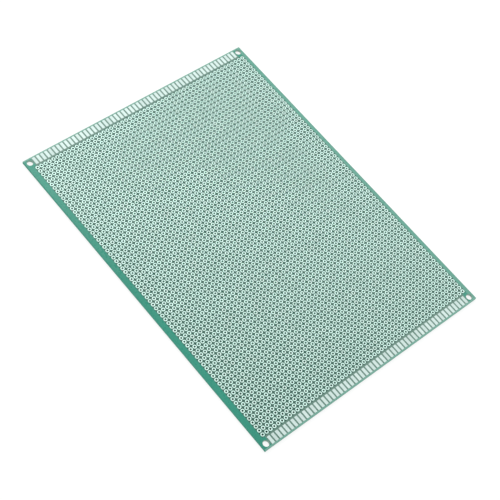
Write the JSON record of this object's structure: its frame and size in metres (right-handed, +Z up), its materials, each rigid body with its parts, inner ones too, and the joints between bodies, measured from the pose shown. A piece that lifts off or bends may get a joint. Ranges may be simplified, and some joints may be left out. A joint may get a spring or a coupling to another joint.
{
  "type": "prototype board",
  "caption": "Flat single-sided prototype board: a drilled green laminate with a square grid of tinned ring pads, contact fingers along both short ends and plain corner mounting holes.",
  "frame": {"origin": "middle of the board's underside", "axes": "+X along the long side, towards the right-hand contact fingers; +Y across the board; +Z up, out of the padded face"},
  "size_m": [0.2, 0.15, 0.0016],
  "materials": {
    "laminate": "green solder mask, semi-gloss",
    "tinned_pads": "bright tinned copper, slightly rounded",
    "tinned_fingers": "bright tinned copper"
  },
  "bodies": {
    "root": {"board": "laminate", "left_ring_pads": "tinned_pads", "right_ring_pads": "tinned_pads", "left_fingers": "tinned_fingers", "right_fingers": "tinned_fingers"}
  },
  "joints": []
}
